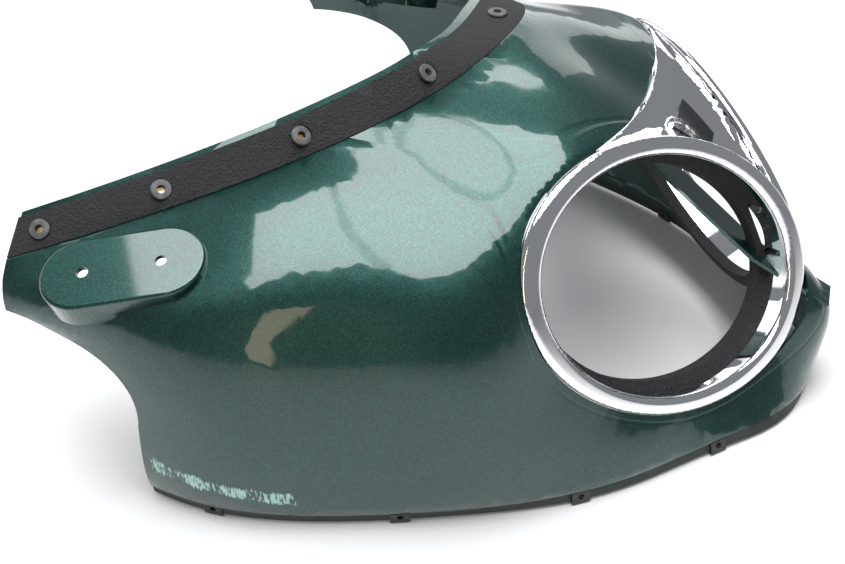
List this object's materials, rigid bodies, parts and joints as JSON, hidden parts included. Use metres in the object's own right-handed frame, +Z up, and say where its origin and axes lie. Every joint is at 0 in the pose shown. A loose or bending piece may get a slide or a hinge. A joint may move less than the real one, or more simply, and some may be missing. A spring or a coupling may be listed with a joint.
{
  "type": "motorcycle nose fairing",
  "caption": "Painted motorcycle nose fairing with twin round headlight openings, a chrome bezel, mirror pads and a stepped flange for a windscreen.",
  "frame": {"origin": "middle of the width and of the length, at the level the lower edge stands on", "axes": "+Z up, the nose points to -Y, the rider's right is -X; the left and right halves mirror each other about X = 0"},
  "size_m": [0.627, 0.5812, 0.2926],
  "materials": {
    "green_paint": "dark green metallic under clear coat",
    "chrome_plating": "bright plating on plastic",
    "badge": "bare dark plate",
    "foam": "black closed-cell foam",
    "nut_rubber": "matte",
    "nut_brass": "plain",
    "clip_steel": "dark spring steel"
  },
  "bodies": {
    "root": {"fairing_shell": "green_paint", "lamp_bezel": "chrome_plating", "badge_plate": "badge", "screen_strip": "foam", "well_nut_rubbers": "nut_rubber", "well_nut_inserts": "nut_brass", "lamp_seal_right": "foam", "lamp_seal_left": "foam", "edge_clips": "clip_steel"}
  },
  "joints": []
}
